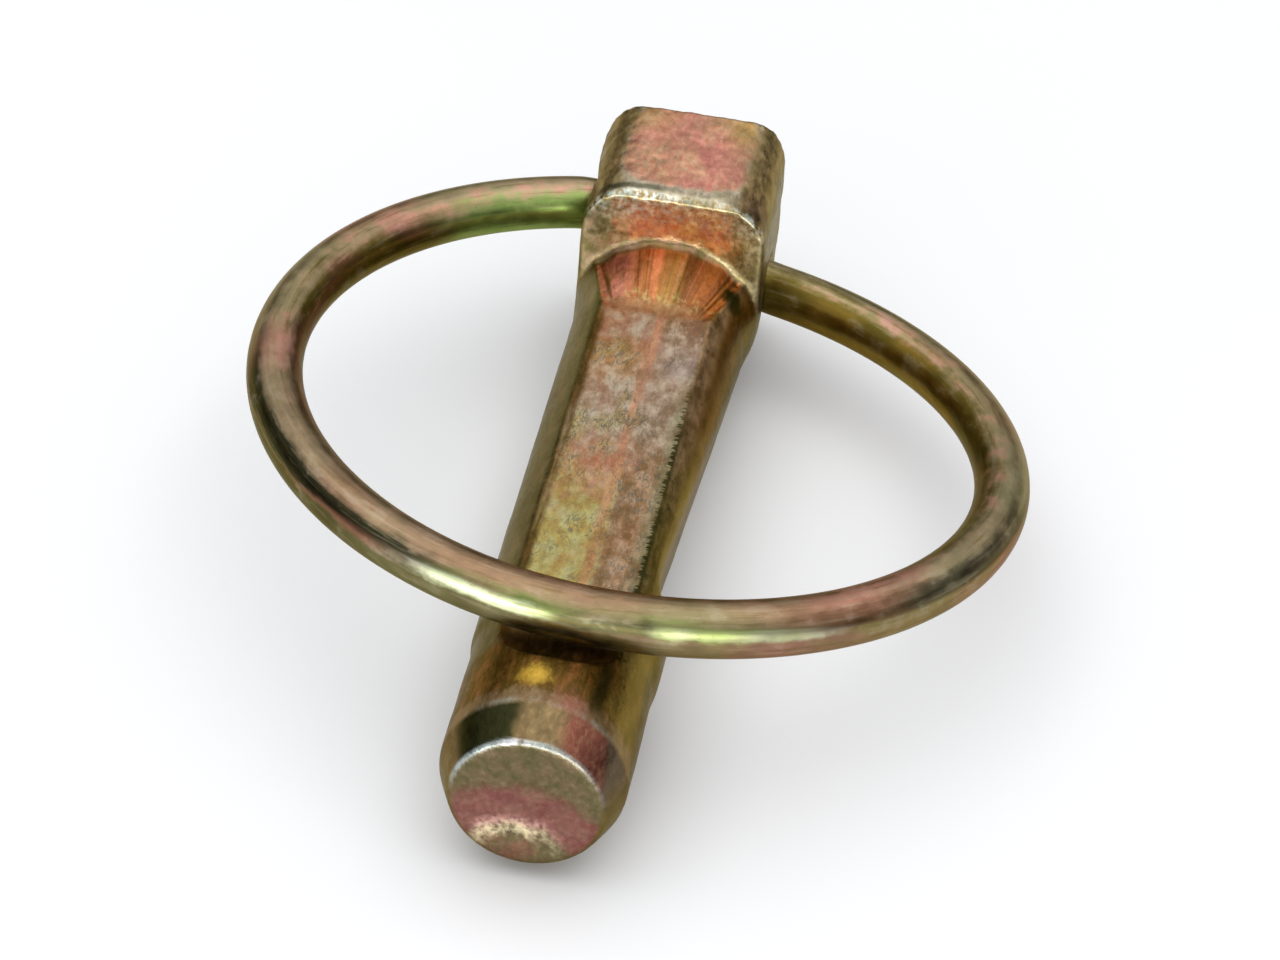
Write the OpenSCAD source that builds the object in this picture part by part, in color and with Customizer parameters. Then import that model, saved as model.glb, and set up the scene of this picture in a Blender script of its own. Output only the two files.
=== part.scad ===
// Lynch pin: a forged pin body with a spring wire ring that swings over the head and closes across the shank.
// X runs along the shank toward the tip, Y across the ring's two ends, Z up out of the recess.
// The origin is on the shank's axis, where the neck ends and the full round of the shank begins.

/* [Shank] */
// Diameter of the round shank, which sets the hole the pin goes through
shank_d = 11; // [8:0.5:16]
// Length of the shank from the end of the neck to the end face
shank_len = 45.4; // [36:0.2:60]
// Length of the neck between the head and the full round of the shank
neck_len = 3; // [1.5:0.25:5]
// Diameter of the neck where it leaves the head
neck_d = 11.7; // [11:0.1:13]
// Room along the shank between the seat's end and the closed wire
seat_room = 1; // [0.6:0.1:3]
// How much slimmer the shank is in radius past the seat, so the ring and the hole both clear it
tip_relief = 0.18; // [0.16:0.01:0.4]

/* [Tip] */
// Diameter of the end face
tip_face_d = 8.8; // [6:0.1:10]
// Length of the tapered band at the tip
tip_taper_len = 2.5; // [1:0.1:4]
// How deep the end face is dished at its middle
tip_dish = 0.18; // [0.05:0.01:0.5]
// Width of the flat rim around the dish
tip_rim = 0.5; // [0.2:0.05:1]

/* [Head] */
// Length of the head along the pin
head_len = 9.8; // [7:0.1:14]
// Width of the head across the ring's two ends
head_w = 11.8; // [11:0.1:16]
// Height of the head's top above the shank's axis, at the shoulder
head_top = 8.9; // [7:0.1:12]
// Slope of the head's top, rising toward the end of the head, in degrees
head_slope = 4.3; // [0:0.1:8]
// Radius of the head's two long top corners
head_corner_r = 3.3; // [1:0.1:4]
// Width of the bevel around the head's end
end_bevel = 0.5; // [0.2:0.05:1]
// Width of the finer bevel around the shoulder
shoulder_bevel = 0.3; // [0.1:0.05:0.8]

/* [Recess] */
// Depth of the recess under the shank's top line
recess_depth = 1.2; // [0.6:0.05:1.6]
// Width of the recess
recess_w = 6.7; // [4:0.1:7.5]
// Radius of the inner corners along the recess
recess_corner_r = 0.35; // [0.15:0.05:0.8]
// Radius of the gentle crown along the recess floor
floor_crown_r = 30; // [15:1:80]
// Where the sloped run-in from the shoulder meets the floor, measured from the end of the neck
run_in_end = 2.8; // [1:0.1:8]
// Width of the run-in where it leaves the shoulder
run_in_w = 9.4; // [7:0.1:10.6]
// Depth of the folds that fan out over the run-in
fold_depth = 0.12; // [0:0.01:0.3]
// How far past the middle of the closed wire the crest of the recess's end wall lies
end_past_wire = 2.9; // [2.4:0.1:5]
// Radius of the end wall, seen from above
end_plan_r = 4.6; // [3.6:0.1:8]
// Radius of the hollow from the floor up to the crest of the end wall
end_wall_r = 1.7; // [1:0.1:3]

/* [Ring] */
// Diameter of the spring wire
wire_d = 3.34; // [2:0.02:5]
// Radius of the ring, to the middle of the wire
ring_r = 22.1; // [16:0.1:32]
// Distance from the shoulder back to the ring's hinge
hinge_back = 4.4; // [3:0.1:7]
// Height of the hinge's middle above the shank's axis
hinge_z = 2.7; // [0:0.05:4]
// How far each wire end sits above or below the hinge's middle, at the head's side
end_offset = 2.3; // [0:0.05:3]
// How far the closed ring is turned to the side, in degrees
ring_turn = 2.5; // [-4:0.1:4]
// How far the closed ring is rolled toward its low side, in degrees
ring_roll = 3; // [0:0.1:4]
// Length from the bend's corner to where the wire is straight or follows the ring
bend_setback = 1.4; // [1:0.1:3]
// How far inside the head's side the bend has its corner
corner_inset = 0.3; // [0:0.05:1]
// How far the wire ends reach into the head along their axis
end_depth = 4; // [2.5:0.1:5]

/* [Fits] */
// Radial play of the wire ends in their holes
hole_play = 0.08; // [0.02:0.01:0.2]
// Room past the wire's end at the bottom of each hole
hole_room = 0.4; // [0.2:0.05:1]
// Extra opening of each hole's flared mouth beyond the wire's sweep, in degrees
mouth_flare = 6; // [0:0.5:15]
// Room under the closed wire, over the recess floor
closed_gap = 0.2; // [0.05:0.01:0.5]

/* [Hidden] */
$fn = 96;

shank_r = shank_d / 2;
tip_r = shank_r - tip_relief;
shoulder_x = -neck_len;
rear_x = shoulder_x - head_len;
rear_top = head_top + (head_len - end_bevel) * tan(head_slope);
head_half = head_w / 2;
floor_z = shank_r - recess_depth;
half_w = recess_w / 2;
crown_sag = floor_crown_r - sqrt(floor_crown_r * floor_crown_r - half_w * half_w);
edge_z = floor_z - crown_sag;
dish_r = (pow(tip_face_d / 2 - tip_rim, 2) + tip_dish * tip_dish) / (2 * tip_dish);
relief_len = 0.8;

// The run-in's folds: their lines start just behind the shoulder and end just under the floor
fan_n = 10;
fan_deg = 62;
fan_b = 2 * fan_n + 2;
fan_r = shank_r + 0.15;
fan_back = 0.5;
fan_reach = fan_back / (run_in_end - shoulder_x);
fan_drop = 0.04;
fan_step = (half_w + 0.4) / (fan_n / 2);
fan_y = [for (i = [0 : fan_n]) (i - fan_n / 2) * fan_step];
fan_floor = [for (y = fan_y) floor_z - fan_drop - floor_crown_r + sqrt(pow(floor_crown_r, 2) - y * y)];
fan_a = [for (i = [0 : fan_n]) (i / fan_n * 2 - 1) * fan_deg];
fan_ray = [for (i = [0 : fan_n]) fan_r - (i % 2) * fold_depth];
fan_neck = [for (i = [0 : fan_n]) [shoulder_x, fan_ray[i] * sin(fan_a[i]), fan_ray[i] * cos(fan_a[i])]];
fan_foot = [for (i = [0 : fan_n]) [run_in_end, fan_y[i], fan_floor[i]]];
fan_top = [for (i = [0 : fan_n]) fan_neck[i] + (fan_neck[i] - fan_foot[i]) * fan_reach];
fan_base = [
    [shoulder_x - fan_back, fan_top[0][1], 0.5],
    [shoulder_x - fan_back, fan_top[fan_n][1], 0.5],
    [run_in_end, fan_foot[0][1], 0.5],
    [run_in_end, fan_foot[fan_n][1], 0.5]
];

wire_r = wire_d / 2;
hinge_x = shoulder_x - hinge_back;
side_s = sqrt(head_half * head_half + end_offset * end_offset);
lean = atan(end_offset / head_half) - ring_roll;
corner_s = side_s - corner_inset;
stub_end = corner_s - bend_setback;
corner_y = corner_s * cos(lean);
reach = sqrt(ring_r * ring_r + bend_setback * bend_setback);
arc_deg = 180 - asin(corner_y / reach) - atan(bend_setback / ring_r);
corner_a = ring_r * (1 - cos(arc_deg)) + bend_setback * sin(arc_deg);
fold = asin(corner_y * tan(lean) / corner_a);
far_x = corner_a * cos(fold);
ring_rise = asin((floor_z + wire_r + closed_gap - hinge_z) / (far_x * cos(ring_turn)));
cross_x = hinge_x + far_x * cos(ring_turn) * cos(ring_rise);
seat_len = cross_x - wire_r - seat_room;
recess_end = cross_x + end_past_wire - end_plan_r;
inner_s = side_s - end_depth;
// The wire is a hair thicker through each bend, and the neighbouring lengths run into it
bend_swell = 0.006;
joint_lap = 0.25;
lap_deg = joint_lap / ring_r * 180 / PI;

// Directions at the bend on the low side, in the hinge's own frame
leg_dir = [-sin(arc_deg) * cos(fold), cos(arc_deg), -sin(arc_deg) * sin(fold)];
in_dir = [0, -cos(lean), sin(lean)];
turn_cos = leg_dir * in_dir;
turn = acos(turn_cos);
bend_r = bend_setback / tan(turn / 2);
to_centre = (in_dir - turn_cos * leg_dir) / sin(turn);
bend_from = [0, corner_y, -corner_y * tan(lean)] - bend_setback * leg_dir;
bend_mid = bend_from + bend_r * to_centre;
bend_up = cross(-to_centre, leg_dir);
bore_r = wire_r + hole_play;
mouth_r = wire_r / cos(turn) + hole_play;

// The hinge's own frame: its x axis runs to the far side of the closed ring
module in_hinge_frame() {
    translate([hinge_x, 0, hinge_z])
        rotate([0, -ring_rise, 0])
            rotate([0, 0, ring_turn])
                rotate([-ring_roll, 0, 0])
                    children();
}

// One straight wire end or its hole, on the low side, between two distances along the hinge
module end_rod(r, from, to) {
    rotate([-lean, 0, 0])
        translate([0, from, 0])
            rotate([-90, 0, 0])
                cylinder(r = r, h = to - from);
}

// Half of the ring on the low side: wire end, bend and half turn
module half_ring() {
    end_rod(wire_r, inner_s, stub_end + joint_lap);
    multmatrix([
        [-to_centre[0], leg_dir[0], bend_up[0], bend_mid[0]],
        [-to_centre[1], leg_dir[1], bend_up[1], bend_mid[1]],
        [-to_centre[2], leg_dir[2], bend_up[2], bend_mid[2]],
        [0, 0, 0, 1]
    ])
        rotate_extrude(angle = turn)
            translate([bend_r, 0])
                circle(r = wire_r + bend_swell);
    translate([far_x, 0, 0])
        rotate([0, -fold, 0])
            translate([-ring_r, 0, 0])
                rotate_extrude(angle = arc_deg + lap_deg)
                    translate([ring_r, 0])
                        circle(r = wire_r);
}

module snap_ring() {
    color([0.62, 0.54, 0.28])
        in_hinge_frame() {
            half_ring();
            rotate([180, 0, 0])
                half_ring();
        }
}

// A round taper along the hinge on the low side, between two distances and radii
module end_taper(r_from, r_to, from, to) {
    rotate([-lean, 0, 0])
        translate([0, from, 0])
            rotate([-90, 0, 0])
                cylinder(r1 = r_from, r2 = r_to, h = to - from);
}

// One wire hole: a straight bore with a flared mouth that lets the bent wire sweep round
module wire_hole() {
    end_rod(bore_r, inner_s - hole_room, stub_end + 0.01);
    end_taper(bore_r, mouth_r, stub_end, corner_s);
    end_taper(mouth_r, mouth_r + 5 * tan(turn + mouth_flare), corner_s, corner_s + 5);
}

// Both wire holes, drilled from the head's two sides along the hinge
module wire_holes() {
    in_hinge_frame() {
        wire_hole();
        rotate([180, 0, 0])
            wire_hole();
    }
}

// Cross-section of the head's upper block, seen from the tip
module head_section() {
    translate([-head_half, 0])
        square([head_w, head_top - head_corner_r]);
    translate([-(head_half - head_corner_r), 0])
        square([head_w - 2 * head_corner_r, head_top]);
    for (side = [-1, 1])
        translate([side * (head_half - head_corner_r), head_top - head_corner_r])
            circle(r = head_corner_r);
}

// The head: a sloped block on a round lower half, flush with the shank underneath
module head() {
    intersection() {
        union() {
            translate([rear_x, 0, 0])
                rotate([0, 90, 0])
                    cylinder(r = head_half, h = head_len);
            translate([shoulder_x, 0, 0])
                rotate([0, head_slope, 0])
                    translate([-head_len - 3, 0, 0])
                        rotate([90, 0, 90])
                            linear_extrude(height = head_len + 6)
                                head_section();
        }
        rotate([90, 0, 0])
            linear_extrude(height = 2 * head_w, center = true)
                polygon([
                    [shoulder_x, -shank_r],
                    [shoulder_x, head_top - shoulder_bevel],
                    [shoulder_x - shoulder_bevel, head_top + shoulder_bevel * tan(head_slope)],
                    [shoulder_x - shoulder_bevel, 2 * head_top],
                    [rear_x + end_bevel, 2 * head_top],
                    [rear_x + end_bevel, rear_top],
                    [rear_x, rear_top - end_bevel],
                    [rear_x, end_bevel - shank_r],
                    [rear_x + end_bevel, -shank_r]
                ]);
        translate([0, 0, -head_w])
            linear_extrude(height = 3 * head_w)
                polygon([
                    [shoulder_x, shoulder_bevel - head_half],
                    [shoulder_x, head_half - shoulder_bevel],
                    [shoulder_x - shoulder_bevel, head_half],
                    [rear_x + end_bevel, head_half],
                    [rear_x, head_half - end_bevel],
                    [rear_x, end_bevel - head_half],
                    [rear_x + end_bevel, -head_half],
                    [shoulder_x - shoulder_bevel, -head_half]
                ]);
    }
}

// Shank, neck and tip as one turned shape
module stem() {
    rotate([0, 90, 0])
        rotate_extrude()
            polygon([
                [0, shoulder_x - 1],
                [neck_d / 2, shoulder_x - 1],
                [neck_d / 2, shoulder_x],
                [shank_r, 0],
                [shank_r, seat_len],
                [tip_r, seat_len + relief_len],
                [tip_r, shank_len - tip_taper_len],
                [tip_face_d / 2, shank_len],
                [0, shank_len]
            ]);
}

// Cross-section of the recess: crowned floor, rounded inner corners, straight sides
module recess_section() {
    difference() {
        union() {
            translate([-half_w, edge_z + recess_corner_r])
                square([recess_w, 6]);
            translate([-(half_w - recess_corner_r), edge_z])
                square([recess_w - 2 * recess_corner_r, 6]);
            for (side = [-1, 1])
                translate([side * (half_w - recess_corner_r), edge_z + recess_corner_r])
                    circle(r = recess_corner_r);
        }
        translate([0, floor_z - floor_crown_r])
            circle(r = floor_crown_r, $fn = 360);
    }
}

// The round pan whose far wall ends the recess just past the closed wire
module end_pan() {
    translate([recess_end, 0, edge_z - 0.3])
        rotate_extrude() {
            square([end_plan_r - end_wall_r, 6]);
            translate([0, end_wall_r])
                square([end_plan_r, 6 - end_wall_r]);
            intersection() {
                translate([end_plan_r - end_wall_r, end_wall_r])
                    circle(r = end_wall_r);
                square([end_plan_r + 1, end_wall_r]);
            }
        }
}

// Material left standing as the run-in: folds that fan from the round neck down to the flat floor
module run_in() {
    polyhedron(
        points = concat(fan_top, fan_foot, fan_base),
        faces = concat(
            [for (i = [0 : fan_n - 1]) [i, i + 1, i + fan_n + 1]],
            [for (i = [0 : fan_n - 1]) [i + 1, i + fan_n + 2, i + fan_n + 1]],
            [concat([for (i = [fan_n : -1 : 0]) i], [fan_b, fan_b + 1])],
            [concat([for (i = [0 : fan_n]) i + fan_n + 1], [fan_b + 3, fan_b + 2])],
            [[0, fan_n + 1, fan_b + 2, fan_b]],
            [[2 * fan_n + 1, fan_n, fan_b + 1, fan_b + 3]],
            [[fan_b, fan_b + 2, fan_b + 3, fan_b + 1]]
        )
    );
}

// The fan-shaped space above the run-in, as wide as the recess where it ends
module run_in_fan() {
    translate([0, 0, 1])
        linear_extrude(height = shank_r)
            polygon([
                [shoulder_x, -run_in_w / 2],
                [run_in_end, -half_w],
                [run_in_end, half_w],
                [shoulder_x, run_in_w / 2]
            ]);
}

module recess() {
    difference() {
        union() {
            intersection() {
                translate([shoulder_x, 0, 0])
                    rotate([90, 0, 90])
                        linear_extrude(height = recess_end + end_plan_r + 1 - shoulder_x)
                            recess_section();
                union() {
                    translate([shoulder_x - 1, -shank_d, 0])
                        cube([recess_end - shoulder_x + 1, 2 * shank_d, shank_d]);
                    end_pan();
                }
            }
            run_in_fan();
        }
        run_in();
    }
}

module pin_body() {
    color([0.58, 0.5, 0.26])
        difference() {
            union() {
                head();
                difference() {
                    stem();
                    translate([shoulder_x - 2, -shank_d, -2 * shank_d])
                        cube([neck_len + 2, 2 * shank_d, 2 * shank_d - shank_r]);
                    recess();
                    translate([shank_len - tip_dish + dish_r, 0, 0])
                        sphere(r = dish_r);
                }
            }
            wire_holes();
        }
}

pin_body();
snap_ring();
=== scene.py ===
import math
import bpy
import numpy as np
from mathutils import Matrix, Vector


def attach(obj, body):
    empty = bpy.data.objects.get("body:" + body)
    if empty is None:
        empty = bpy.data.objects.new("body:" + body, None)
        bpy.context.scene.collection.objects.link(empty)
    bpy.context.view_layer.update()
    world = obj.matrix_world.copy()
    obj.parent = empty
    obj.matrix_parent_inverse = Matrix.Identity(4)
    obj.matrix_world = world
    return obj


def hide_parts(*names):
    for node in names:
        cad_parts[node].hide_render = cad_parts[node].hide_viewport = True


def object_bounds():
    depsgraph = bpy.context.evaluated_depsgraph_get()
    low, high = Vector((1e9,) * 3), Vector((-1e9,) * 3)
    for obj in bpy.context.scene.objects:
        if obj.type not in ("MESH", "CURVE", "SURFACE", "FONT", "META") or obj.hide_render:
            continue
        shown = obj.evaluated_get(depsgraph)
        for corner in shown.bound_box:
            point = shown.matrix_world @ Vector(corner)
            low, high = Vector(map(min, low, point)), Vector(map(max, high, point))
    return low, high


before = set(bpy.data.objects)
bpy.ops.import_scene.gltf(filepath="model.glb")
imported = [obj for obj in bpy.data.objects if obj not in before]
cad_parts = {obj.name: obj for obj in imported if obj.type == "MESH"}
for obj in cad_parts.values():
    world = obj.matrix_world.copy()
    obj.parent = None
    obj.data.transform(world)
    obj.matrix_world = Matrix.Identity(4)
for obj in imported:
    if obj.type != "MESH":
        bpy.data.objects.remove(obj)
cad_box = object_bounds()

# Lengths are in millimetres, scaled by MM where they enter Blender; lamps and floor are in metres
MM = 0.001
WEIGHT_STEPS = 12


# ---------- small helpers ----------

def deselect():
    if bpy.context.object and bpy.context.object.mode != "OBJECT":
        bpy.ops.object.mode_set(mode="OBJECT")
    bpy.ops.object.select_all(action="DESELECT")


def only(obj):
    deselect()
    obj.select_set(True)
    bpy.context.view_layer.objects.active = obj


def edit(obj):
    only(obj)
    bpy.ops.object.mode_set(mode="EDIT")
    bpy.ops.mesh.select_mode(type="VERT")
    bpy.ops.mesh.select_all(action="SELECT")


def done():
    bpy.ops.object.mode_set(mode="OBJECT")


def settle(obj, matrix=Matrix.Identity(4)):
    """Moves an object and bakes its place into the mesh."""
    obj.matrix_world = matrix @ obj.matrix_world
    only(obj)
    bpy.ops.object.transform_apply(location=True, rotation=True, scale=True)


def apply_modifier(obj, kind, **settings):
    only(obj)
    mod = obj.modifiers.new(kind.lower(), kind)
    for key, value in settings.items():
        setattr(mod, key, value)
    bpy.ops.object.modifier_apply(modifier=mod.name)


def join_metal(obj, tool, how):
    apply_modifier(obj, "BOOLEAN", operation=how, object=tool, solver="EXACT")
    bpy.data.objects.remove(tool, do_unlink=True)


def ease(low, high, value):
    """Goes smoothly from 0 at low to 1 at high; low may be the larger one."""
    t = np.clip((value - low) / (high - low), 0, 1)
    return t * t * (3 - 2 * t)


def points_of(mesh):
    """The vertices in millimetres, and their normals."""
    co = np.zeros(len(mesh.vertices) * 3, np.float32)
    mesh.vertices.foreach_get("co", co)
    no = np.zeros(len(mesh.vertices) * 3, np.float32)
    mesh.vertices.foreach_get("normal", no)
    return co.reshape(-1, 3) / MM, no.reshape(-1, 3)


def keep_value(mesh, name, values):
    layer = mesh.attributes.new(name, "FLOAT", "POINT")
    layer.data.foreach_set("value", np.asarray(values, np.float32))


def weigh(obj, name, values):
    """Makes a vertex group whose weights are rounded to a few levels."""
    group = obj.vertex_groups.new(name=name)
    level = np.round(np.clip(values, 0, 1) * WEIGHT_STEPS).astype(int)
    for k in range(1, WEIGHT_STEPS + 1):
        found = np.nonzero(level == k)[0]
        if len(found):
            group.add(found.tolist(), k / WEIGHT_STEPS, "REPLACE")


def push(obj, depth, group):
    """Moves the group's surface along its normals; a negative depth goes inward."""
    apply_modifier(obj, "DISPLACE", direction="NORMAL", mid_level=0, strength=depth * MM,
                   vertex_group=group)


def dent(obj, name, size, depth, group, noise_depth):
    """Roughens the group's surface with clouds of the given size."""
    texture = bpy.data.textures.new(name, "CLOUDS")
    texture.noise_scale = size * MM
    texture.noise_depth = noise_depth
    apply_modifier(obj, "DISPLACE", texture=texture, texture_coords="LOCAL", direction="NORMAL",
                   mid_level=0.5, strength=depth * MM, vertex_group=group)


# ---------- the forged pin body ----------

SHOULDER = -3.0
TIP = 45.4
FLOOR_Z = 4.3
HINGE = Vector((-7.4, 0, 2.7))
HINGE_WAY = Vector((0.0115, -0.9308, 0.3653)).normalized()

# The block that presses the low flank flat; FLANK_FACE is the flat's distance from the shank's axis
FLANK_BLOCK = (32, 5, 15)
FLANK_ROUND = 2.3
FLANK_MIDDLE = 13.5
FLANK_FACE = 4.74
FLANK_LEAN = math.radians(-8)
FLANK_TILT = math.radians(-3.4)

BEAD_RING_R = 5.62
BEAD_R = 0.13
BEAD_LOW_Z = 2.6

VOXEL = 0.2
FAN_FOCUS = 12.0


def flank_cutter():
    """The forging is pressed a little flat on its low side, more and more toward the closed wire."""
    bpy.ops.mesh.primitive_cube_add(size=1, location=(0, 0, 0))
    tool = bpy.context.object
    edit(tool)
    bpy.ops.transform.resize(value=Vector(FLANK_BLOCK) * MM)
    bpy.ops.mesh.bevel(offset=FLANK_ROUND * MM, segments=6, affect="EDGES")
    done()
    lean = Matrix.Rotation(FLANK_LEAN, 4, "X")
    tilt = Matrix.Rotation(FLANK_TILT, 4, "Z")
    put = Matrix.Translation(Vector((FLANK_MIDDLE, FLANK_FACE + FLANK_BLOCK[1] / 2, 0)) * MM)
    settle(tool, lean @ put @ tilt)
    return tool


def crest_bead():
    """A thin rolled lip where the shoulder overhangs the run-in."""
    bpy.ops.mesh.primitive_torus_add(major_segments=120, minor_segments=12,
                                     major_radius=BEAD_RING_R * MM, minor_radius=BEAD_R * MM,
                                     location=(SHOULDER * MM, 0, 0), rotation=(0, math.pi / 2, 0))
    lip = bpy.context.object
    settle(lip)
    edit(lip)
    bpy.ops.mesh.bisect(plane_co=(0, 0, BEAD_LOW_Z * MM), plane_no=(0, 0.12, 1),
                        use_fill=True, clear_inner=True)
    done()
    return lip


def weigh_regions(body):
    """Groups the places that are smoothed, pushed or dented apart from the rest."""
    p, n = points_of(body.data)
    x, y, z = p.T
    r = np.hypot(y, z)
    off = p - np.array(HINGE)
    off -= np.outer(off @ np.array(HINGE_WAY), np.array(HINGE_WAY))
    from_hinge = np.hypot(np.hypot(off[:, 0], off[:, 1]), off[:, 2])
    in_head = ease(SHOULDER - 0.4, SHOULDER - 0.9, x)
    clear = np.maximum(ease(2.3, 3.1, from_hinge), ease(SHOULDER - 0.9, SHOULDER - 0.4, x))
    struck = np.maximum(ease(44.6, 45.2, x) * ease(4.0, 3.2, r), ease(SHOULDER - 0.3, SHOULDER - 1, x))

    weigh(body, "all_over", clear)
    weigh(body, "floor", ease(3.5, 3.2, abs(y)) * ease(5.2, 4.7, z) * ease(0.4, 0.8, n[:, 2])
          * ease(1.5, 2.5, x) * ease(37.5, 36.5, x))
    weigh(body, "struck", struck * clear)
    weigh(body, "bore", ease(2.25, 2.1, from_hinge) * in_head)
    weigh(body, "low_flank", ease(3.7, 3.1, z) * ease(1.5, 2.6, y) * ease(0.6, 1.8, x) * ease(38, 36, x))
    weigh(body, "rear", ease(-12.3, -12.6, x) * ease(5.4, 2.0, np.hypot(y, (z - 1.6) * 0.8)))
    weigh(body, "shoulder", ease(SHOULDER - 0.8, SHOULDER - 0.2, x)
          * ease(SHOULDER + 0.6, SHOULDER + 0.1, x) * ease(5.0, 5.6, z))
    weigh(body, "rim", ease(43.9, 44.6, x) * ease(2.9, 3.7, r))


def forge_body():
    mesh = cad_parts["pin_body"].data.copy()
    body = bpy.data.objects.new("forged_body", mesh)
    bpy.context.collection.objects.link(body)
    body.data.materials.clear()
    edit(body)
    bpy.ops.mesh.remove_doubles(threshold=0.001 * MM)
    done()
    join_metal(body, flank_cutter(), "DIFFERENCE")
    join_metal(body, crest_bead(), "UNION")
    apply_modifier(body, "REMESH", mode="VOXEL", voxel_size=VOXEL * MM, use_smooth_shade=True)
    apply_modifier(body, "SMOOTH", factor=0.5, iterations=5)

    weigh_regions(body)
    apply_modifier(body, "SMOOTH", factor=0.5, iterations=45, vertex_group="rim")
    apply_modifier(body, "SMOOTH", factor=0.5, iterations=70, vertex_group="low_flank")
    push(body, -0.05, "bore")
    push(body, -0.22, "rear")
    dent(body, "rear_dents", 2.2, 0.30, "rear", 1)
    dent(body, "slow_waves", 3.2, 0.07, "all_over", 1)
    dent(body, "hammer_marks", 1.1, 0.17, "struck", 2)
    dent(body, "floor_pits", 0.7, 0.06, "floor", 2)
    dent(body, "shoulder_grain", 0.45, 0.12, "shoulder", 1)
    body.vertex_groups.clear()
    return body


def note_surface(body):
    """Keeps what the finish needs to know about each place on the forging."""
    mesh = body.data
    p, n = points_of(mesh)
    x, y, z = p.T
    nx, ny, nz = n.T
    r = np.hypot(y, z)

    ends = np.zeros(len(mesh.edges) * 2, np.int32)
    mesh.edges.foreach_get("vertices", ends)
    a, b = ends.reshape(-1, 2).T
    count = np.bincount(a, minlength=len(x)) + np.bincount(b, minlength=len(x))

    def around(v):
        """The mean of each vertex's neighbours."""
        total = np.bincount(a, v[b], len(x)) + np.bincount(b, v[a], len(x))
        return total / np.maximum(count, 1)

    mean = np.stack([around(p[:, k]) for k in range(3)], 1)
    bend = -((mean - p) * n).sum(1)
    for _ in range(3):
        bend = (bend + around(bend)) / 2
    keep_value(mesh, "edge", ease(0.010, 0.034, bend))
    keep_value(mesh, "hollow_shade", ease(0.007, 0.028, -bend))

    floor = (ease(3.42, 3.24, abs(y)) * ease(5.3, 4.8, z) * ease(0.3, 0.6, nz)
             * ease(1.6, 2.6, x) * ease(38.2, 37.2, x) * (z > 3))
    keep_value(mesh, "floor", floor)
    side = 4.75 - 0.24 * (x - SHOULDER)
    fan = (ease(side + 0.15, side - 0.15, abs(y)) * ease(SHOULDER - 0.05, SHOULDER + 0.1, x)
           * ease(4.2, 1.8, x) * (z > 2.2))
    keep_value(mesh, "fan", fan)
    keep_value(mesh, "fan_turn", np.arctan2(y, FAN_FOCUS - x))
    keep_value(mesh, "shoulder", ease(0.5, 0.85, nx) * ease(-3.9, -3.3, x) * ease(-2.2, -2.7, x) * (r > 5.2))
    head = ease(SHOULDER + 0.1, SHOULDER - 0.25, x)
    keep_value(mesh, "head", head)
    keep_value(mesh, "head_top", head * ease(0.86, 0.97, nz))
    keep_value(mesh, "head_end", ease(-0.6, -0.9, nx) * head)
    keep_value(mesh, "tip_end", ease(0.8, 0.93, nx) * ease(44.7, 45.0, x))
    keep_value(mesh, "band", ease(42.7, 43.1, x) * ease(0.9, 0.8, nx))
    keep_value(mesh, "rim", ease(44.0, 44.5, x) * ease(0.52, 0.68, nx) * ease(0.95, 0.86, nx))
    keep_value(mesh, "up", nz)
    keep_value(mesh, "low_side", ny)


# ---------- the spring wire ring ----------

WIRE_R = 1.67
RING_R = 22.1
RING_TURN = math.radians(2.5)
RING_ROLL = math.radians(3)
HEAD_HALF = 5.9
END_OFFSET = 2.3
SETBACK = 1.4
INSET = 0.3
END_DEPTH = 4.0
CLOSED_GAP = 0.2
CLOSED_Z = FLOOR_Z + WIRE_R + CLOSED_GAP
SPIN_WAY = -1

# One half of the wire: its arc, its bend at the head and its straight end
side_s = math.hypot(HEAD_HALF, END_OFFSET)
end_lean = math.atan(END_OFFSET / HEAD_HALF) - RING_ROLL
corner_s = side_s - INSET
corner_y = corner_s * math.cos(end_lean)
arc = math.pi - math.asin(corner_y / math.hypot(RING_R, SETBACK)) - math.atan(SETBACK / RING_R)
corner_a = RING_R * (1 - math.cos(arc)) + SETBACK * math.sin(arc)
fold = math.asin(corner_y * math.tan(end_lean) / corner_a)
far_x = corner_a * math.cos(fold)
ring_rise = math.asin((CLOSED_Z - HINGE.z) / (far_x * math.cos(RING_TURN)))
ring_place = (Matrix.Translation(HINGE) @ Matrix.Rotation(-ring_rise, 4, "Y")
              @ Matrix.Rotation(RING_TURN, 4, "Z") @ Matrix.Rotation(-RING_ROLL, 4, "X"))
half_centre = Vector((far_x - RING_R * math.cos(fold), 0, -RING_R * math.sin(fold)))
half_axis = Vector((-math.sin(fold), 0, math.cos(fold)))
leg = Vector((-math.sin(arc) * math.cos(fold), math.cos(arc), -math.sin(arc) * math.sin(fold)))
inward = Vector((0, -math.cos(end_lean), math.sin(end_lean)))
bend_turn = math.acos(leg.dot(inward))
bend_r = SETBACK / math.tan(bend_turn / 2)
to_centre = (inward - leg.dot(inward) * leg) / math.sin(bend_turn)
corner = Vector((0, corner_y, -corner_y * math.tan(end_lean)))
bend_mid = corner - SETBACK * leg + bend_r * to_centre
bend_axis = (-to_centre).cross(leg)


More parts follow.
